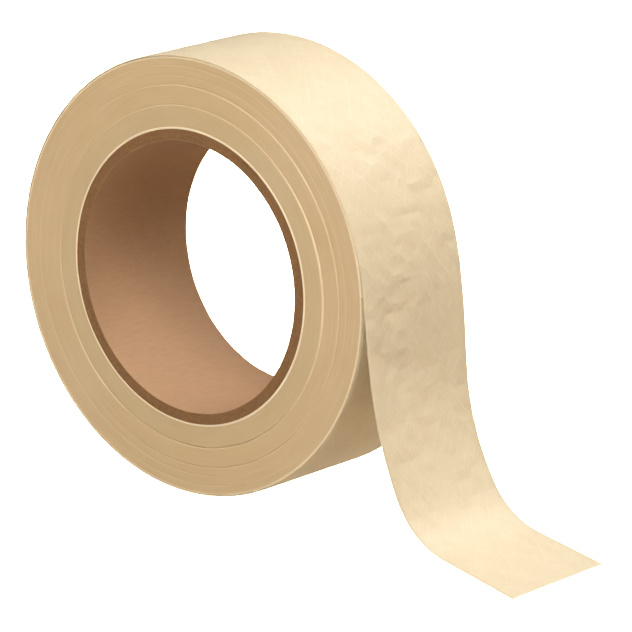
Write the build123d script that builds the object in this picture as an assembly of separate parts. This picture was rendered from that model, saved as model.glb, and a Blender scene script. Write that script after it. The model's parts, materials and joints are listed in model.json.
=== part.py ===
from build123d import *
import math
import os

# A roll of crepe masking tape with its free end hanging down.
# Frame: the origin is the centre of the cardboard core's bore and +Y runs along the core.
# +X is the side where the free end leaves the roll, +Z is up. Millimetres throughout.

# Cardboard core: plies of paper wound into a tube and glued
BORE_R = 38.1
PLY_T = 0.44
PLY_COUNT = 7
CORE_R = BORE_R + PLY_T * PLY_COUNT
CORE_LEN = 42.6

# Wound tape
TAPE_W = 42.0
TAPE_T = 0.128
ROLL_R = 61.4

# The winding drifts sideways a little where the machine shifted. Each run of laps is
# (name, outer radius, sideways shift along Y). The first few laps sit against the core.
LAP_CLEARANCE = 0.05
WINDING_R = ROLL_R - 2 * TAPE_T - LAP_CLEARANCE
RUNS = (
    ("first_laps", 41.8, -0.25),
    ("inner_laps", 47.8, -0.12),
    ("middle_laps", 53.3, 0.03),
    ("outer_laps", WINDING_R, 0.15),
)

# The top lap is one turn of the strip, one tape thickness lower at its inner end
DEPART_DEG = 12.0
LAP_SWEEP_DEG = 352.0
LAP_POINTS = 33

# The free end, as headings measured outward from straight down and bend radii of its
# outer face: (heading at the end of the bend, radius). The side at -Y and the side at +Y
# differ a little because the strip hangs slightly twisted.
NEAR_BENDS = ((6.3, 290.0), (24.0, 114.0), (75.8, 23.8))
FAR_BENDS = ((2.9, 227.0), (30.0, 68.0), (77.7, 24.1))
NEAR_RUN = 23.9
FAR_RUN = 22.3


def tube(inner, outer, length, shift=0.0):
    """A round tube along Y."""
    wall = Cylinder(outer, length) - Cylinder(inner, length)
    return Pos(0, shift, 0) * Rot(90, 0, 0) * wall


def on_roll(angle_deg, radius):
    """A point of the side view at an angle above +X."""
    a = math.radians(angle_deg)
    return (radius * math.cos(a), radius * math.sin(a))


def top_lap():
    """One lap of the strip, climbing outward by one thickness per turn."""
    outer = []
    inner = []
    for i in range(LAP_POINTS):
        turn = LAP_SWEEP_DEG * i / (LAP_POINTS - 1)
        r = ROLL_R - TAPE_T * turn / 360
        outer.append(on_roll(DEPART_DEG + turn, r))
        inner.append(on_roll(DEPART_DEG + turn, r - TAPE_T))
    with BuildSketch(Plane.XZ) as lap:
        with BuildLine():
            Spline(*outer)
            Line(outer[-1], inner[-1])
            Spline(*reversed(inner))
            Line(inner[0], outer[0])
        make_face()
    return extrude(lap.sketch, TAPE_W / 2, both=True)


def bend(start, heading, end_heading, radius):
    """End point and middle point of a bend that starts at a heading from straight down."""
    turn = -1 if end_heading < heading else 1
    h = math.radians(heading)
    centre = (
        start[0] + turn * radius * math.cos(h),
        start[1] + turn * radius * math.sin(h),
    )
    points = []
    for angle in ((heading + end_heading) / 2, end_heading):
        a = math.radians(angle)
        points.append(
            (
                centre[0] - turn * radius * math.cos(a),
                centre[1] - turn * radius * math.sin(a),
            )
        )
    return points


def tail_face(y, bends, run):
    """The strip's section at one side of the tape: outer face, cut end, inner face."""
    edges = []
    returns = []
    outer = on_roll(DEPART_DEG, ROLL_R)
    inner = on_roll(DEPART_DEG, ROLL_R - TAPE_T)
    at_start = Line(inner, outer)
    heading = DEPART_DEG
    for end_heading, radius in bends:
        side = 1 if end_heading < heading else -1
        middle, end = bend(outer, heading, end_heading, radius)
        edges.append(ThreePointArc(outer, middle, end))
        low_middle, low_end = bend(inner, heading, end_heading, radius - side * TAPE_T)
        returns.append(ThreePointArc(low_end, low_middle, inner))
        outer = end
        inner = low_end
        heading = end_heading
    h = math.radians(heading)
    tip = (outer[0] + run * math.sin(h), outer[1] - run * math.cos(h))
    low_tip = (inner[0] + run * math.sin(h), inner[1] - run * math.cos(h))
    edges.append(Line(outer, tip))
    cut = Line(tip, low_tip)
    returns.append(Line(low_tip, inner))
    outline = Wire([at_start, *edges, cut, *reversed(returns)])
    return Plane.XZ.offset(-y) * Face(outline)


def tail():
    near = tail_face(-TAPE_W / 2, NEAR_BENDS, NEAR_RUN)
    far = tail_face(TAPE_W / 2, FAR_BENDS, FAR_RUN)
    return Solid(loft([near, far], ruled=True).wrapped)


shapes = {}
for n in range(PLY_COUNT):
    inner_r = BORE_R + PLY_T * n
    shapes[f"core_ply_{n + 1}"] = tube(inner_r, inner_r + PLY_T, CORE_LEN)
inner_r = CORE_R
for name, outer_r, shift in RUNS:
    shapes[name] = tube(inner_r, outer_r, TAPE_W, shift)
    inner_r = outer_r
shapes["top_lap"] = top_lap()
shapes["tail"] = tail()

os.makedirs("parts", exist_ok=True)
for name, shape in shapes.items():
    export_step(shape, f"parts/{name}.step")
    print(name, round(shape.volume, 2), shape.is_valid, len(shape.solids()))
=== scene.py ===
import json
import math

import bpy
import numpy as np
from mathutils import Matrix, Vector


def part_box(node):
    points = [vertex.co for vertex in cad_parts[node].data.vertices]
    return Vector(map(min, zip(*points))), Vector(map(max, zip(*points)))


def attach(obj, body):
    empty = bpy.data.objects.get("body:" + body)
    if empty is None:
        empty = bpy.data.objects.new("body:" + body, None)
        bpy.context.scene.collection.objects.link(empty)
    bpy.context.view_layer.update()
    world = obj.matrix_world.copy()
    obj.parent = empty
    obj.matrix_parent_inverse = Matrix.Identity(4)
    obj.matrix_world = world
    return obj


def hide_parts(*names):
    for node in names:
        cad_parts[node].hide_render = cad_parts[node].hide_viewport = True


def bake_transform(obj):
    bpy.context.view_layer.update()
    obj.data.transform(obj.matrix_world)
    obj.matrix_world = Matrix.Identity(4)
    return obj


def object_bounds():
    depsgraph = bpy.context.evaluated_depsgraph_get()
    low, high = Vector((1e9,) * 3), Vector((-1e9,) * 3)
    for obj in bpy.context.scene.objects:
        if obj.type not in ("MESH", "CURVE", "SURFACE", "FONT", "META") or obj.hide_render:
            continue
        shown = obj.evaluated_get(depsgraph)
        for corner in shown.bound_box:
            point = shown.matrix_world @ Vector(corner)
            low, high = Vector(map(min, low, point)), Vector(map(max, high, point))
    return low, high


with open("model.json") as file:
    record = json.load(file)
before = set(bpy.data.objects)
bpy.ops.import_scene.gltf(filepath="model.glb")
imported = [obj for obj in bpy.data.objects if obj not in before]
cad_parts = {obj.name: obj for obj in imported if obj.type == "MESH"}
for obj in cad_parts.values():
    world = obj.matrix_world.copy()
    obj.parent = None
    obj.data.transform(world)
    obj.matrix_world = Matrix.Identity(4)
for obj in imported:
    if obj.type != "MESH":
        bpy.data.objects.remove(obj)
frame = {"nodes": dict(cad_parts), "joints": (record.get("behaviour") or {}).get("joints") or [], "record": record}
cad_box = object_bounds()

# A roll of crepe masking tape, looks only. Metres, in the frame of the CAD model: the
# origin is the centre of the core's bore, +Y runs along the core, +Z is up, and the free
# end leaves the roll on the +X side.

MM = 0.001

# --- Sizes read from the frame -------------------------------------------------------

bore = next(m for m in frame["record"]["mounts"] if m["name"] == "core_bore")
hinge = next(j for j in frame["joints"] if j["name"] == "tail_lift")
BORE_R = bore["dims"]["r_mm"] * MM
PLIES = sorted(n for n in frame["nodes"] if n.startswith("core_ply_"))
RUNS = ("first_laps", "inner_laps", "middle_laps", "outer_laps")
HINGE_X, _, HINGE_Z = hinge["pos_m"]
DEPART = math.atan2(HINGE_Z, HINGE_X)
ROLL_R = math.hypot(HINGE_X, HINGE_Z)
TAPE_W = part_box("tail")[1][1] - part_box("tail")[0][1]


def outer_radius(node):
    """Outer radius of a ring of the frame, from its box."""
    low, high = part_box(node)
    return (high[2] - low[2]) / 2


# --- The strip's own sizes, the same as the CAD model's ------------------------------

TAPE_T = 0.128 * MM
LAP_SWEEP = math.radians(352)
PLY_T = 0.44 * MM
CORE_R = BORE_R + PLY_T * len(PLIES)

# Bends of the free end's outer face: (heading at the end of the bend, radius). Headings
# are degrees outward from straight down. The strip hangs slightly twisted, so its two
# edges differ.
NEAR_BENDS = ((6.3, 290.0), (24.0, 114.0), (75.8, 23.8))
FAR_BENDS = ((2.9, 227.0), (30.0, 68.0), (77.7, 24.1))
NEAR_RUN = 23.9
FAR_RUN = 22.3

# --- Small mesh tools ----------------------------------------------------------------

LATTICE = 64
SHARP_ANGLE = math.radians(50)


def srgb(r, g, b):
    """Linear colour of an 8-bit screen colour."""
    channels = []
    for c in (r, g, b):
        c = c / 255
        channels.append(c / 12.92 if c <= 0.04045 else ((c + 0.055) / 1.055) ** 2.4)
    return (*channels, 1.0)


def noise(u, v, seed, facets=False, around=LATTICE):
    """Random heights from -1 to 1 on a unit lattice, joined by curves or by flat facets.
    The lattice repeats after `around` units of u, so that it closes round a ring."""
    table = np.random.default_rng(seed).uniform(-1, 1, (LATTICE, LATTICE))
    i = np.floor(u).astype(int)
    j = np.floor(v).astype(int)
    a = u - i
    b = v - j
    near_u, far_u = i % around, (i + 1) % around
    near_v, far_v = j % LATTICE, (j + 1) % LATTICE
    h00, h10 = table[near_u, near_v], table[far_u, near_v]
    h01, h11 = table[near_u, far_v], table[far_u, far_v]
    if facets:
        low = h00 + a * (h10 - h00) + b * (h01 - h00)
        high = h11 + (1 - a) * (h01 - h11) + (1 - b) * (h10 - h11)
        return np.where(a + b < 1, low, high)
    a = a * a * (3 - 2 * a)
    b = b * b * (3 - 2 * b)
    return (h00 * (1 - a) + h10 * a) * (1 - b) + (h01 * (1 - a) + h11 * a) * b


def smooth_step(x, low, high):
    """Smooth rise from 0 at `low` to 1 at `high`."""
    t = np.clip((x - low) / (high - low), 0, 1)
    return t * t * (3 - 2 * t)


def loops_mesh(name, grid, material, ends=None, values=None):
    """A closed surface from rows of points, each row a closed loop round a section. The
    last row joins the first, unless `ends` gives the polygons that close both ends, as
    columns of a row. values are named numbers or vectors per point, for the material."""
    rows, cols = grid.shape[:2]
    index = np.arange(rows * cols).reshape(rows, cols)
    here = index[:-1] if ends else index
    ahead = index[1:] if ends else np.roll(index, -1, axis=0)
    quads = np.stack(
        [here, np.roll(here, -1, axis=1), np.roll(ahead, -1, axis=1), ahead], axis=-1
    ).reshape(-1, 4)
    points = grid.reshape(-1, 3)
    a, b, c, d = (points[quads[:, k]] for k in range(4))
    volume = np.einsum("ij,ij->", a, np.cross(b, c)) + np.einsum("ij,ij->", a, np.cross(c, d))
    faces = quads.tolist()
    for polygon in ends or ():
        faces.append([int(index[0, k]) for k in reversed(polygon)])
        faces.append([int(index[-1, k]) for k in polygon])
    if volume < 0:
        faces = [face[::-1] for face in faces]
    mesh = bpy.data.meshes.new(name)
    mesh.from_pydata(points.tolist(), [], faces)
    mesh.polygons.foreach_set("use_smooth", np.ones(len(faces), bool))
    mesh.set_sharp_from_angle(angle=SHARP_ANGLE)
    for key, value in (values or {}).items():
        vector = value.ndim == 3
        attribute = mesh.attributes.new(key, "FLOAT_VECTOR" if vector else "FLOAT", "POINT")
        numbers = value.astype(np.float32).ravel()
        attribute.data.foreach_set("vector" if vector else "value", numbers)
    mesh.materials.append(material)
    mesh.update()
    piece = bpy.data.objects.new(name, mesh)
    bpy.context.scene.collection.objects.link(piece)
    return piece


# --- Materials -----------------------------------------------------------------------

BLACK = (0, 0, 0, 1)
WHITE = (1, 1, 1, 1)


class Nodes:
    """A material's node tree, with short ways to add and link nodes."""

    def __init__(self, name):
        self.material = bpy.data.materials.new(name)
        self.material.use_nodes = True
        self.tree = self.material.node_tree
        self.tree.nodes.clear()
        self.shader = self.add("ShaderNodeBsdfPrincipled")
        output = self.add("ShaderNodeOutputMaterial")
        self.link(self.shader.outputs["BSDF"], output.inputs["Surface"])

    def add(self, kind, **settings):
        node = self.tree.nodes.new(kind)
        for key, value in settings.items():
            setattr(node, key, value)
        return node

    def link(self, start, end):
        self.tree.links.new(start, end)

    def attribute(self, name, output="Vector"):
        return self.add("ShaderNodeAttribute", attribute_name=name).outputs[output]

    def scaled(self, vector, scale):
        node = self.add("ShaderNodeVectorMath", operation="MULTIPLY")
        self.link(vector, node.inputs[0])
        node.inputs[1].default_value = scale
        return node.outputs["Vector"]

    def lattice_line(self, coordinate, patches, width):
        """1 where a coordinate is whole, falling to 0 at `width` from there, in patches."""
        away = self.maths("PINGPONG", coordinate, 0.5)
        line = self.ramp(away, [(0.0, WHITE), (width, BLACK)])
        strength = self.ramp(patches, [(0.42, BLACK), (0.6, WHITE)])
        return self.maths("MULTIPLY", line, strength)

    def noise(self, vector, scale=1.0, detail=4.0, roughness=0.55):
        node = self.add("ShaderNodeTexNoise")
        self.link(vector, node.inputs["Vector"])
        node.inputs["Scale"].default_value = scale
        node.inputs["Detail"].default_value = detail
        node.inputs["Roughness"].default_value = roughness
        return node.outputs["Fac"]

    def ramp(self, factor, stops):
        node = self.add("ShaderNodeValToRGB")
        self.link(factor, node.inputs["Fac"])
        elements = node.color_ramp.elements
        while len(elements) < len(stops):
            elements.new(0.5)
        for element, (position, colour) in zip(elements, stops):
            element.position = position
            element.color = colour
        return node.outputs["Color"]

    def mix(self, factor, first, second, blend="MIX"):
        node = self.add("ShaderNodeMix", data_type="RGBA", blend_type=blend)
        for value, socket in ((factor, "Factor"), (first, "A"), (second, "B")):
            sockets = [s for s in node.inputs if s.name == socket and s.enabled]
            if isinstance(value, bpy.types.NodeSocket):
                self.link(value, sockets[0])
            else:
                sockets[0].default_value = value
        return next(s for s in node.outputs if s.enabled)

    def maths(self, operation, *values):
        node = self.add("ShaderNodeMath", operation=operation)
        for k, value in enumerate(values):
            if isinstance(value, bpy.types.NodeSocket):
                self.link(value, node.inputs[k])
            else:
                node.inputs[k].default_value = value
        return node.outputs["Value"]

    def bump(self, height, distance, strength=1.0, normal=None):
        node = self.add("ShaderNodeBump")
        self.link(height, node.inputs["Height"])
        node.inputs["Distance"].default_value = distance
        node.inputs["Strength"].default_value = strength
        if normal:
            self.link(normal, node.inputs["Normal"])
        return node.outputs["Normal"]

    def finish(self, colour, normal, roughness, specular, sheen=0.0):
        self.link(colour, self.shader.inputs["Base Color"])
        self.link(normal, self.shader.inputs["Normal"])
        if isinstance(roughness, bpy.types.NodeSocket):
            self.link(roughness, self.shader.inputs["Roughness"])
        else:
            self.shader.inputs["Roughness"].default_value = roughness
        self.shader.inputs["Specular IOR Level"].default_value = specular
        self.shader.inputs["Sheen Weight"].default_value = sheen
        return self.material


# Crepe paper: features in a metre (along, across), and their bump heights
RIPPLES = (2600, 330, 1)
RIPPLE_HEIGHT = 0.06 * MM
CREPE_FIBRES = (900, 1500, 1)
CREPE_FIBRE_HEIGHT = 0.05 * MM
CLOUDS = (120, 180, 1)
CLOUD_COLOURS = [(0.3, srgb(220, 205, 171)), (0.7, srgb(224, 210, 177))]
FIBRE_COLOURS = [(0.3, srgb(212, 195, 157)), (0.75, srgb(233, 223, 194))]
# Painted shade and light of the creases: darker in their hollows, lighter on their tops
CREASE_SHADE_TINTS = [(0.0, srgb(240, 231, 214)), (0.5, srgb(250, 246, 238)), (1.0, srgb(255, 254, 250))]
# Fold lines: half width as a share of a diamond, height, and colour, which is partly whitened fibres and partly a
# painted highlight along the folds
FOLD_WIDTH = 0.11
FOLD_HEIGHT = 0.04 * MM
FOLD_WEAR_AND_HIGHLIGHT_COLOUR = srgb(242, 229, 205)


def crepe_material():
    """Cream crepe paper: fine ripples across the strip, fibres, painted shade in the hollows of the creases, and
    paler fold lines that carry a painted highlight.
    """
    n = Nodes("crepe_paper")
    strip = n.attribute("strip")
    ripples = n.noise(n.scaled(strip, RIPPLES), detail=3.0)
    fibres = n.noise(n.scaled(strip, CREPE_FIBRES), detail=5.0, roughness=0.65)
    clouds = n.noise(n.scaled(strip, CLOUDS), detail=3.0)
    base = n.mix(0.3, n.ramp(clouds, CLOUD_COLOURS), n.ramp(fibres, FIBRE_COLOURS))
    # Painted shade: the hollows of the creases darker, their tops lighter
    crease_shade = n.ramp(n.attribute("crease", "Fac"), CREASE_SHADE_TINTS)
    colour = n.mix(0.4, base, crease_shade, "MULTIPLY")
    # Thin fold lines on both ways of the lattice of diamonds, each strong in its own patches
    diamond = n.attribute("diamond")
    split = n.add("ShaderNodeSeparateXYZ")
    n.link(diamond, split.inputs["Vector"])
    lines = []
    for axis, stretch in (("X", (1.3, 0.5, 1)), ("Y", (0.5, 1.3, 1))):
        patches = n.noise(n.scaled(diamond, stretch), detail=1.0)
        lines.append(n.lattice_line(split.outputs[axis], patches, FOLD_WIDTH))
    folds = n.maths("MAXIMUM", *lines)
    # Paler fold lines: whitened fibres and a painted highlight along the folds
    colour = n.mix(n.maths("MULTIPLY", folds, 0.22), colour, FOLD_WEAR_AND_HIGHLIGHT_COLOUR)
    normal = n.bump(fibres, CREPE_FIBRE_HEIGHT, 0.35)
    normal = n.bump(ripples, RIPPLE_HEIGHT, 0.5, normal)
    normal = n.bump(folds, FOLD_HEIGHT, 0.8, normal)
    roughness = n.maths("MULTIPLY_ADD", fibres, 0.2, 0.5)
    return n.finish(colour, normal, roughness, 0.5, 0.05)


# Side of the winding: tan paper edges, a greener tan near the core, and painted highlight lines
RING_COLOURS = [(0.35, srgb(207, 181, 138)), (0.65, srgb(215, 192, 151))]
FINE_RING_COLOURS = [(0.35, srgb(206, 177, 131)), (0.65, srgb(219, 195, 156))]
BLOTCH_COLOURS = [(0.3, srgb(206, 179, 133)), (0.7, srgb(217, 193, 152))]
OLIVE = srgb(192, 177, 135)
PAINTED_HIGHLIGHT_COLOUR = srgb(252, 237, 203)
FINE_RING_HEIGHT = 0.02 * MM


def edge_material():
    """Side of the winding: the cut edges of the laps, tan, with fine rings and painted highlight lines."""
    n = Nodes("wound_edges")
    lap = n.attribute("lap")
    rings = n.noise(lap, scale=1.0, detail=4.0, roughness=0.6)
    fine = n.noise(n.scaled(lap, (1.0, 1.0, 6.0)), detail=3.0)
    blotches = n.noise(n.scaled(lap, (1.0, 1.0, 0.08)), scale=0.8, detail=2.0)
    base = n.mix(0.2, n.ramp(rings, RING_COLOURS), n.ramp(fine, FINE_RING_COLOURS))
    base = n.mix(0.35, base, n.ramp(blotches, BLOTCH_COLOURS))
    base = n.mix(n.attribute("olive", "Fac"), base, n.mix(0.22, base, OLIVE))
    # Painted highlight lines along the grooves, the outer rim and the first laps' ring
    colour = n.mix(n.attribute("painted_highlight", "Fac"), base, PAINTED_HIGHLIGHT_COLOUR)
    normal = n.bump(fine, FINE_RING_HEIGHT, 0.25)
    n.shader.inputs["Anisotropic"].default_value = 0.85
    n.link(n.attribute("outward"), n.shader.inputs["Tangent"])
    return n.finish(colour, normal, 0.45, 0.6)


# Kraft board: features in a metre (two across the bore, one along it), and bump heights
BOARD_FIBRES = (1400, 1400, 260)
BOARD_FIBRE_HEIGHT = 0.05 * MM
BOARD_SPECKS = (900, 900, 900)
BOARD_SPECK_HEIGHT = 0.1 * MM
WALL_COLOURS = [(0.2, srgb(164, 130, 96)), (0.8, srgb(176, 140, 107))]
CUT_COLOURS = [(0.25, srgb(129, 96, 63)), (0.55, srgb(140, 106, 71)), (0.8, srgb(153, 118, 82))]


def board_material():
    """Brown kraft board: the plies' cut ends are darker and more specked than the bore."""
    n = Nodes("kraft_board")
    place = n.attribute("board")
    fibres = n.noise(n.scaled(place, BOARD_FIBRES), detail=5.0, roughness=0.65)
    specks = n.noise(n.scaled(place, BOARD_SPECKS), detail=4.0, roughness=0.7)
    wall = n.ramp(fibres, WALL_COLOURS)
    cut = n.ramp(specks, CUT_COLOURS)
    colour = n.mix(n.attribute("cut_end", "Fac"), wall, cut)
    normal = n.bump(fibres, BOARD_FIBRE_HEIGHT, 0.4)
    normal = n.bump(specks, BOARD_SPECK_HEIGHT, 0.3, normal)
    return n.finish(colour, normal, 0.8, 0.2)


FLOOR_COLOURS = [(0.0, (0.88, 0.76, 0.61, 1)), (1.0, (0.90, 0.78, 0.63, 1))]
WALL_GLOW = (0.95, 0.91, 0.86, 1)


def floor_material():
    """Pale matt floor."""
    n = Nodes("pale_floor")
    grain = n.noise(n.add("ShaderNodeTexCoord").outputs["Object"], scale=3.0)
    colour = n.ramp(grain, FLOOR_COLOURS)
    return n.finish(colour, n.bump(grain, 0.1 * MM, 0.1), 0.9, 0.1)


def wall_material():
    """Backdrop that glows by itself, so that no light has to reach it."""
    n = Nodes("pale_wall")
    n.shader.inputs["Base Color"].default_value = BLACK
    n.shader.inputs["Emission Color"].default_value = WALL_GLOW
    n.shader.inputs["Emission Strength"].default_value = 0.9
    return n.material


crepe = crepe_material()
edges = edge_material()
board = board_material()

# --- Creases of the crepe paper ------------------------------------------------------

# Diamonds of the crumpled paper, in flat facets: (length, width, height in mm, seed). The
# first ones also carry the thin fold lines.
CREASES = (
    (5.0, 4.0, 0.190, 11),
    (10.0, 8.0, 0.120, 12),
    (2.5, 2.0, 0.050, 13),
)
# How far the lattices' lines bend, and the middle and greatest height of the creases
CREASE_WARP = 0.35 * MM
CREASE_BASE = 0.32 * MM
CREASE_TOP = 0.62 * MM
# Places along the strip, from where it leaves the roll: the paper is taut before TAUT_TO,
# fully crumpled from CRUMPLED_FROM, and smoother again from SMOOTH_FROM, most at SMOOTH_TO
TAUT_TO = -75 * MM
CRUMPLED_FROM = -30 * MM
SMOOTH_FROM = 70 * MM
SMOOTH_TO = 100 * MM
TAUT_STRENGTH = 0.4
SMOOTH_STRENGTH = 0.5
# Band along each cut edge where the creases are pressed flat
PRESSED_BAND = 0.8 * MM
PRESSED_SHARE = 0.7
# The near edge starts to lift a little before the free end leaves the roll
LIFT = 0.35 * MM
LIFT_BEFORE = 7 * MM
LIFT_AFTER = 15 * MM
# Soft hollow across the free end, with a fold at its deepest line
HOLLOW_DEPTH = 1.7 * MM
HOLLOW_START = 7 * MM
HOLLOW_FOLD = 30 * MM
HOLLOW_END = 68 * MM
# The fold comes this much sooner at the near edge, and both lines wander a little
HOLLOW_NEAR_EARLY = 7 * MM
HOLLOW_START_WANDER = 1.5 * MM
HOLLOW_FOLD_WANDER = 1.2 * MM
# Share of the depth that is lost at the two cut edges
HOLLOW_EDGE_LOSS = 0.6
# Columns of the creased face for each column of the plain inner face
COARSE = 4


def crease_warp(s, y):
    """Place on the paper with the lattices' straight lines bent a little."""
    u = s + CREASE_WARP * noise(s / (6 * MM), y / (6 * MM), 21)
    v = y + CREASE_WARP * noise(s / (7 * MM), y / (5 * MM), 22)
    return u, v


def crease_height(s, y):
    """Height of the creased face at arc length s from where the strip leaves the roll."""
    u, v = crease_warp(s, y)
    height = np.zeros_like(s)
    for length, width, tall, seed in CREASES:
        along = u / (length * MM)
        across = v / (width * MM)
        height += tall * MM * noise(along + across, along - across, seed, facets=True)
    # Taut over the top of the roll, crumpled where it has been pulled off
    strength = TAUT_STRENGTH + (1 - TAUT_STRENGTH) * smooth_step(s, TAUT_TO, CRUMPLED_FROM)
    strength = strength * (1 - (1 - SMOOTH_STRENGTH) * smooth_step(s, SMOOTH_FROM, SMOOTH_TO))
    patches = 0.8 + 0.35 * noise(s / (18 * MM), y / (14 * MM), 23)
    height = np.clip(CREASE_BASE + strength * patches * height, 0, CREASE_TOP)
    pressed = smooth_step(np.abs(y), TAPE_W / 2 - PRESSED_BAND, TAPE_W / 2)
    return height * (1 - PRESSED_SHARE * pressed)


def hollow(s, y):
    """Depth of the free end's soft hollow, least at the two cut edges."""
    start = HOLLOW_START + HOLLOW_START_WANDER * noise(y / (9 * MM), np.zeros_like(y), 24)
    fold = HOLLOW_FOLD + HOLLOW_FOLD_WANDER * noise(y / (6 * MM), np.ones_like(y), 24)
    fold = fold - HOLLOW_NEAR_EARLY * smooth_step(-y, 8 * MM, 20 * MM)
    down = np.clip((s - start) / (fold - start), 0, 1)
    back = np.clip((s - fold) / (HOLLOW_END - fold), 0, 1)
    edge = smooth_step(np.abs(y), 12 * MM, 21 * MM)
    return HOLLOW_DEPTH * down * (1 - back) * (1 - HOLLOW_EDGE_LOSS * edge)


def edge_lift(s, y):
    """How far the strip stands off the roll near its departure, most at the near edge."""
    nearness = np.clip(0.5 - y / TAPE_W, 0, 1) ** 1.5
    return LIFT * nearness * smooth_step(s, -LIFT_BEFORE, 0) * (1 - smooth_step(s, 0, LIFT_AFTER))


def make_strip(name, outer, inner, s, y, height):
    """The strip's mesh from the points of its outer and inner faces, across and along."""
    columns = s.shape[1]
    back = np.arange(columns - 1, -1, -COARSE)
    grid = np.concatenate([outer, inner[:, back]], axis=1)
    loops = []
    for value in (s, y, height / CREASE_TOP):
        loops.append(np.concatenate([value, value[:, back]], axis=1))
    loop_s, loop_y, crease = loops
    strip = np.stack([loop_s, loop_y, np.zeros_like(loop_s)], axis=-1)
    u, v = crease_warp(loop_s, loop_y)
    u, v = u / (CREASES[0][0] * MM), v / (CREASES[0][1] * MM)
    diamond = np.stack([u + v, u - v, np.zeros_like(u)], axis=-1)
    ends = []
    for k in range(len(back) - 1):
        last = columns - 1 - k * COARSE
        ends.append([*range(last - COARSE, last + 1), columns + k, columns + k + 1])
    values = {"strip": strip, "diamond": diamond, "crease": crease}
    return loops_mesh(name, grid, crepe, ends, values)


def width_columns(step):
    """Places across the strip, about `step` apart."""
    count = COARSE * round(TAPE_W / step / COARSE)
    return np.linspace(-TAPE_W / 2, TAPE_W / 2, count + 1)


# --- Top lap: one turn of the strip, from the departure line back round the roll -----

LAP_STEP = 0.35 * MM
LAP_COARSE_STEP = 0.8 * MM
# Length behind the departure line where the creases are strong enough to need fine rows
LAP_FINE = 110 * MM
# How much the two cut edges waver in width
EDGE_WAVER = 0.05 * MM


def make_top_lap():
    fine = np.arange(0, LAP_FINE, LAP_STEP) / ROLL_R
    rest = LAP_SWEEP * ROLL_R - LAP_FINE
    coarse = np.linspace(LAP_FINE / ROLL_R, LAP_SWEEP, round(rest / LAP_COARSE_STEP))
    turn = np.concatenate([fine, coarse])
    angle, across = np.meshgrid(turn, width_columns(LAP_STEP), indexing="ij")
    s = -angle * ROLL_R
    height = crease_height(s, across)
    radius = ROLL_R - TAPE_T * angle / math.tau + edge_lift(s, across)
    waver = 1 + EDGE_WAVER / TAPE_W * noise(s / (9 * MM), np.zeros_like(s), 31)
    place = angle + DEPART
    faces = []
    for r in (radius + height, radius - TAPE_T):
        faces.append(np.stack([r * np.cos(place), across * waver, r * np.sin(place)], axis=-1))
    piece = make_strip("tape_top_lap", faces[0], faces[1], s, across, height)
    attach(piece, "free_turn")
    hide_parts("top_lap")


# --- Free end ------------------------------------------------------------------------

TAIL_STEP = 0.33 * MM
# Rows of points along each bend of the free end, and along its straight run
TAIL_ROWS = (90, 110, 76, 66)
# Both faces follow the creases from this far on, where the strip is clear of the roll
TAIL_CLEAR = 12 * MM


def edge_line(bends, run, counts):
    """Points of one edge of the free end's outer face, in the side view."""
    at = np.array([HINGE_X, HINGE_Z])
    heading = DEPART
    points = [at]
    length = 0.0
    lengths = [0.0]
    for (end_degrees, radius), count in zip(bends, counts):
        end = math.radians(end_degrees)
        turn = 1 if end > heading else -1
        r = radius * MM
        centre = at + turn * r * np.array([math.cos(heading), math.sin(heading)])
        sweep = abs(end - heading)
        for k in range(1, count + 1):
            a = heading + (end - heading) * k / count
            points.append(centre - turn * r * np.array([math.cos(a), math.sin(a)]))
            lengths.append(length + r * sweep * k / count)
        length += r * sweep
        at = points[-1]
        heading = end
    direction = np.array([math.sin(heading), -math.cos(heading)])
    for k in range(1, counts[-1] + 1):
        points.append(at + direction * run * MM * k / counts[-1])
        lengths.append(length + run * MM * k / counts[-1])
    return np.array(points), np.array(lengths)


def make_tail():
    near, near_s = edge_line(NEAR_BENDS, NEAR_RUN, TAIL_ROWS)
    far, far_s = edge_line(FAR_BENDS, FAR_RUN, TAIL_ROWS)
    y = width_columns(TAIL_STEP)
    share = (y / TAPE_W + 0.5)[None, :]
    x = near[:, :1] * (1 - share) + far[:, :1] * share
    z = near[:, 1:] * (1 - share) + far[:, 1:] * share
    s = near_s[:, None] * (1 - share) + far_s[:, None] * share
    across = np.broadcast_to(y, s.shape)
    middle = np.stack([x, across, z], axis=-1)
    normal = np.cross(np.gradient(middle, axis=1), np.gradient(middle, axis=0))
    normal /= np.linalg.norm(normal, axis=-1, keepdims=True)
    if normal[0, 0, 0] < 0:
        normal = -normal
    height = crease_height(s, across)
    follow = smooth_step(s, 0, TAIL_CLEAR)
    lift = edge_lift(s, across) - hollow(s, across)
    outer = middle + normal * (lift + height)[..., None]
    inner = middle + normal * (lift + height * follow - TAPE_T)[..., None]
    piece = make_strip("tape_free_end", outer, inner, s, across, height)
    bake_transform(piece)
    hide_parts("tail")


# --- Winding: the runs of laps between the core and the top lap ----------------------

# Points round the roll, and steps outward between rows: elsewhere, and at the grooves
AROUND = 640
ROW_STEP = 0.3 * MM
GROOVE_STEP = 0.05 * MM
# Grooves in the side where the laps drifted: (radius, half width, depth in mm, seed)
GROOVES = (
    (47.8, 0.36, 0.36, 41),
    (53.3, 0.34, 0.16, 42),
    (55.8, 0.26, 0.09, 43),
    (58.6, 0.22, 0.07, 44),
)
# How far a groove's line wanders in and out in mm, and how strong the painted highlight along the deepest one is
GROOVE_WANDER = 0.10
GROOVE_HIGHLIGHT = 0.75
# Rounding of the outermost run's rim, and the width of the highlight painted along it
RIM_ROUND = 0.10 * MM
RIM_ROWS = 6
RIM_HIGHLIGHT_WIDTH = 0.65 * MM
# How far the first laps' own rims lie below the middle of their side
FIRST_LAPS_ROUND = 0.12 * MM
# Unevenness of the side: fine and broad
FINE_DEPTH = 0.004 * MM
BROAD_DEPTH = 0.02 * MM
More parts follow.
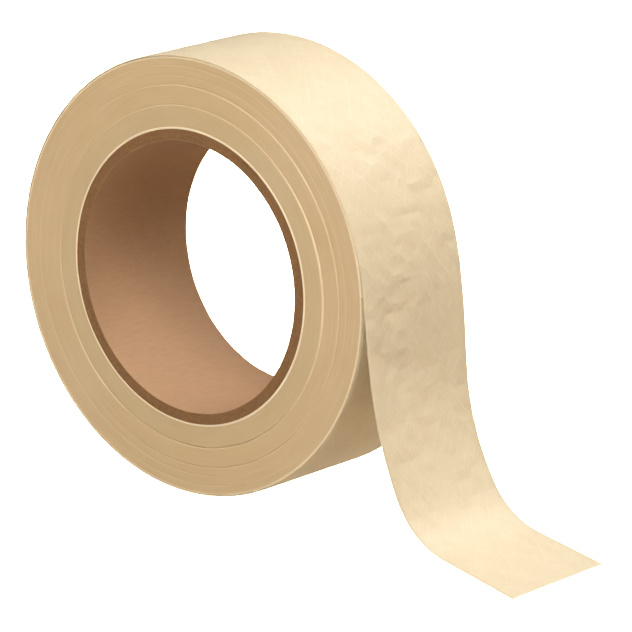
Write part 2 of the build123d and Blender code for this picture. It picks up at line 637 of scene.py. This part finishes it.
# Size of the rings' texture round the roll, and its features in a millimetre outward
LAP_TEXTURE_ROUND = 4
LAP_TEXTURE_OUT = 2.2
# The outermost run reaches up to the inner end of the top lap's spiral
LAP_FLOOR = ROLL_R - 2 * TAPE_T - 0.004 * MM


def run_rows(inner_r, outer_r):
    """Radii of the rows of points on a run's side, closer together at the grooves."""
    radii = list(np.arange(inner_r, outer_r, ROW_STEP))
    for radius, width, _, _ in GROOVES:
        reach = width + GROOVE_WANDER
        close = np.arange(radius - reach, radius + reach, GROOVE_STEP / MM) * MM
        radii = [r for r in radii if abs(r / MM - radius) > reach]
        radii += [r for r in close if inner_r <= r < outer_r]
    radii += list(np.linspace(outer_r - RIM_ROUND, outer_r, RIM_ROWS))
    radii.append(inner_r)
    radii = np.unique(np.round(np.array(sorted(radii)) / MM, 3)) * MM
    keep = np.concatenate([np.diff(radii) > 0.02 * MM, [True]])
    keep[0] = True
    return radii[keep]


def side_profile(r, angle, seed):
    """Depth of the winding's side below its flat face, and how much highlight is painted there."""
    r_mm = r / MM
    ring = angle / math.tau
    level = np.zeros_like(r)
    fine = noise(ring * 6, r_mm * 2.6 + ring, seed, around=6)
    broad = noise(ring * 4, r_mm * 0.5, seed + 1, around=4)
    depth = FINE_DEPTH * fine + BROAD_DEPTH * broad
    painted_highlight = np.zeros_like(r)
    for radius, width, deep, groove_seed in GROOVES:
        strength = np.clip(0.7 + 0.8 * noise(ring * 5, level, groove_seed, around=5), 0.3, 1)
        offset = r_mm - radius - GROOVE_WANDER * noise(ring * 7, level + 1, groove_seed, around=7)
        dip = np.clip(1 - np.abs(offset) / width, 0, 1)
        depth += deep * MM * strength * dip
        # Painted highlight along each groove, strongest at the deepest
        painted_highlight += GROOVE_HIGHLIGHT * strength * dip * deep / GROOVES[0][2]
    return depth, painted_highlight


def make_run(node, inner_r, outer_r, seed):
    """One run of laps: a ring of wound tape with its two cut sides."""
    low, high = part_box(node)
    rows = run_rows(inner_r, outer_r)
    angle = np.linspace(0, math.tau, AROUND, endpoint=False)
    a, r = np.meshgrid(angle, rows, indexing="ij")
    sides = []
    for y_face, way, side_seed in ((low[1], 1, seed), (high[1], -1, seed + 7)):
        depth, painted_highlight = side_profile(r, a, side_seed)
        if node == "outer_laps":
            beyond = np.clip((r - (outer_r - RIM_ROUND)) / RIM_ROUND, 0, 1)
            depth = depth + RIM_ROUND * (1 - np.sqrt(1 - 0.98 * beyond**2))
            # Painted highlight along the rounded outer rim
            rim = smooth_step(r, outer_r - RIM_HIGHLIGHT_WIDTH, outer_r - 0.3 * RIM_HIGHLIGHT_WIDTH)
            painted_highlight = np.maximum(painted_highlight, 0.9 * rim)
        if node == "first_laps":
            middle = (r - inner_r) / (outer_r - inner_r)
            depth = depth + FIRST_LAPS_ROUND * (2 * middle - 1) ** 2
            # The first laps' narrow ring is painted pale all over, a painted highlight on its raised rims
            painted_highlight = np.ones_like(r) * 0.95
        sides.append((y_face + way * depth, painted_highlight))
    radius = np.concatenate([r, r[:, ::-1]], axis=1)
    y = np.concatenate([sides[0][0], sides[1][0][:, ::-1]], axis=1)
    painted_highlight = np.concatenate([sides[0][1], sides[1][1][:, ::-1]], axis=1)
    olive = np.full_like(painted_highlight, 1.0 if node in ("first_laps", "inner_laps") else 0.0)
    turn = np.concatenate([a, a], axis=1)
    cosine, sine = np.cos(turn), np.sin(turn)
    grid = np.stack([radius * cosine, y, radius * sine], axis=-1)
    outward = np.stack([cosine, np.zeros_like(turn), sine], axis=-1)
    texture_out = radius / MM * LAP_TEXTURE_OUT
    lap = np.stack([LAP_TEXTURE_ROUND * cosine, LAP_TEXTURE_ROUND * sine, texture_out], axis=-1)
    values = {"lap": lap, "painted_highlight": painted_highlight, "olive": olive, "outward": outward}
    piece = loops_mesh(f"wound_{node}", grid, edges, values=values)
    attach(piece, "roll")
    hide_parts(node)


# --- Cardboard core ------------------------------------------------------------------

# Rows of points along the liner's walls, along the other plies' walls, and across an end
WALL_ROWS = 60
PLY_WALL_ROWS = 6
END_ROWS = 5
FRAY = 0.10 * MM
# Helical butt joint of the liner, as a faint line in the bore
SEAM_WIDTH = 0.35 * MM
SEAM_DEPTH = 0.12 * MM
SEAM_PITCH = 150 * MM
SEAM_AT = math.radians(20)


def make_ply(number, node):
    """One ply of the board core, numbered outward from the bore."""
    low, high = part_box(node)
    inner_r = BORE_R + PLY_T * number
    innermost = number == 0
    angle = np.linspace(0, math.tau, AROUND, endpoint=False)
    ring = angle / math.tau
    across = np.linspace(0, 1, END_ROWS)
    along = np.linspace(0, 1, WALL_ROWS if innermost else PLY_WALL_ROWS)[1:-1]
    count = len(along)
    # One loop round the section: near end, outer wall, far end, inner wall
    share_r = np.concatenate([across, np.ones(count), across[::-1], np.zeros(count)])
    share_y = np.concatenate([np.zeros(END_ROWS), along, np.ones(END_ROWS), along[::-1]])
    at_end = np.concatenate([np.ones(END_ROWS), np.zeros(count)] * 2)
    turn = np.repeat(angle[:, None], len(share_r), axis=1)
    around = np.repeat(ring[:, None], len(share_r), axis=1)
    radius = inner_r + PLY_T * share_r[None, :] + np.zeros_like(turn)
    y = low[1] + (high[1] - low[1]) * share_y[None, :] + np.zeros_like(turn)
    fray = FRAY * (
        noise(around * 60, share_r[None, :] * 2 + number, 51 + number, around=60)
        + 0.6 * noise(around * 23, around * 0 + number, 61, around=23)
    )
    inward = np.where(share_y[None, :] < 0.5, 1, -1)
    y = y + inward * at_end[None, :] * (0.6 * FRAY + 0.5 * fray)
    if innermost:
        # The liner's torn inner lip, and its helical butt joint
        lip = (share_r == 0) & (at_end == 1)
        radius = radius + lip[None, :] * 0.6 * FRAY * noise(around * 46, around * 0, 71, around=46)
        seam = (turn - SEAM_AT - y * math.tau / SEAM_PITCH + math.pi) % math.tau - math.pi
        groove = np.exp(-((seam * inner_r / SEAM_WIDTH) ** 2))
        radius = radius + SEAM_DEPTH * groove * (share_r == 0)[None, :]
    grid = np.stack([radius * np.cos(turn), y, radius * np.sin(turn)], axis=-1)
    place = np.stack([radius * np.cos(turn), radius * np.sin(turn), y], axis=-1)
    # The liner's cut end takes the bore's lighter colour towards its inner edge, a painted highlight along the lip
    lip_highlight = np.clip(share_r * 2, 0, 1) if innermost else 1.0
    cut_end = np.broadcast_to(at_end * lip_highlight, turn.shape).copy()
    piece = loops_mesh(f"board_{node}", grid, board, values={"board": place, "cut_end": cut_end})
    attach(piece, "roll")
    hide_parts(node)


# --- Stage: floor, light and camera --------------------------------------------------

# Camera: angles round and above the object, distance, shift of its axis, and lens in mm
CAMERA_AZIMUTH = math.radians(39.95)
CAMERA_ELEVATION = math.radians(14.62)
CAMERA_DISTANCE = 1.301
CAMERA_RIGHT = 0.0214
CAMERA_UP = -0.0146
CAMERA_LENS = 267.7
# Soft lights on the object: (name, place, power), all of one size and aimed at its centre
LIGHTS = (
    ("high", (0.42, -0.75, 1.3), 14.6),
    ("front", (0.6, -1.1, 0.95), 9.0),
    ("right", (1.4, -0.3, 0.4), 3.0),
    ("behind", (0.2, 1.1, 1.0), 14.6),
)
LIGHT_SIZE = 0.7
# Warm light from all round
AMBIENT_COLOUR = (1.0, 0.38, 0.14, 1)
AMBIENT_STRENGTH = 0.07
# The floor below the object, and the pale wall that stands on it all round
FLOOR_DROP = 0.85
FLOOR_HALF = 30.0
WALL_SIDES = 96
WALL_OUT = 5.3
WALL_TOP = 12.0
# Ring of lights over the floor, the first of them behind the object as the camera sees it
FLOOR_LIGHTS = 6
FLOOR_LIGHTS_OUT = 3.9
FLOOR_LIGHTS_UP = 1.6
FLOOR_LIGHT_SIZE = 2.5
FLOOR_LIGHT_SPREAD = 110
FIRST_FLOOR_LIGHT = 240
OTHER_FLOOR_LIGHTS = 58


def area_light(name, place, target, size, power, spread=180):
    """A round soft light that the camera doesn't see."""
    data = bpy.data.lights.new(name, "AREA")
    data.shape = "DISK"
    data.size = size
    data.energy = power
    data.spread = math.radians(spread)
    light = bpy.data.objects.new(name, data)
    light.location = place
    light.visible_camera = False
    light.rotation_euler = (Vector(target) - Vector(place)).to_track_quat("-Z", "Y").to_euler()
    bpy.context.scene.collection.objects.link(light)


def stage_object(name, points, faces, material):
    """A mesh that belongs to the stage, not to the object."""
    mesh = bpy.data.meshes.new(name)
    mesh.from_pydata(points, [], faces)
    mesh.materials.append(material)
    piece = bpy.data.objects.new(name, mesh)
    bpy.context.scene.collection.objects.link(piece)
    return piece


def make_wall(level):
    """A pale wall all round, seen by the camera only: it lights nothing and stops no light."""
    turns = [k * math.tau / WALL_SIDES for k in range(WALL_SIDES)]
    ring = [(WALL_OUT * math.cos(turn), WALL_OUT * math.sin(turn)) for turn in turns]
    points = [(x, y, level) for x, y in ring] + [(x, y, WALL_TOP) for x, y in ring]
    faces = []
    for k in range(WALL_SIDES):
        ahead = (k + 1) % WALL_SIDES
        faces.append((k, ahead, ahead + WALL_SIDES, k + WALL_SIDES))
    wall = stage_object("wall", points, faces, wall_material())
    wall.visible_diffuse = False
    wall.visible_glossy = False
    wall.visible_transmission = False
    wall.visible_shadow = False


def make_stage():
    level = cad_box[0][2] - FLOOR_DROP
    corners = [(x * FLOOR_HALF, y * FLOOR_HALF, level) for x, y in ((-1, -1), (1, -1), (1, 1), (-1, 1))]
    stage_object("floor", corners, [(0, 1, 2, 3)], floor_material())
    make_wall(level)
    world = bpy.data.worlds.new("studio")
    world.use_nodes = True
    background = world.node_tree.nodes["Background"]
    background.inputs["Color"].default_value = AMBIENT_COLOUR
    background.inputs["Strength"].default_value = AMBIENT_STRENGTH
    bpy.context.scene.world = world
    for name, place, power in LIGHTS:
        area_light(name, place, (0, 0, 0), LIGHT_SIZE, power)
    for k in range(FLOOR_LIGHTS):
        turn = CAMERA_AZIMUTH + k * math.tau / FLOOR_LIGHTS
        x = -math.sin(turn) * FLOOR_LIGHTS_OUT
        y = math.cos(turn) * FLOOR_LIGHTS_OUT
        place = (x, y, level + FLOOR_LIGHTS_UP)
        power = FIRST_FLOOR_LIGHT if k == 0 else OTHER_FLOOR_LIGHTS
        area_light(f"floor_{k}", place, (x, y, level), FLOOR_LIGHT_SIZE, power, FLOOR_LIGHT_SPREAD)
    bpy.context.scene.view_settings.view_transform = "Standard"


def make_camera():
    a, e = CAMERA_AZIMUTH, CAMERA_ELEVATION
    back = Vector((math.sin(a) * math.cos(e), -math.cos(a) * math.cos(e), math.sin(e)))
    right = Vector((math.cos(a), math.sin(a), 0))
    up = back.cross(right)
    data = bpy.data.cameras.new("camera")
    data.sensor_width = 36
    data.lens = CAMERA_LENS
    camera = bpy.data.objects.new("camera", data)
    turn = Matrix((right, up, back)).transposed().to_4x4()
    place = back * CAMERA_DISTANCE + right * CAMERA_RIGHT + up * CAMERA_UP
    camera.matrix_world = Matrix.Translation(place) @ turn
    bpy.context.scene.collection.objects.link(camera)
    bpy.context.scene.camera = camera


make_top_lap()
make_tail()
inner = CORE_R
for count, name in enumerate(RUNS):
    outer = max(outer_radius(name), LAP_FLOOR if name == RUNS[-1] else 0)
    make_run(name, inner, outer, 80 + 10 * count)
    inner = outer
for count, name in enumerate(PLIES):
    make_ply(count, name)
make_stage()
make_camera()
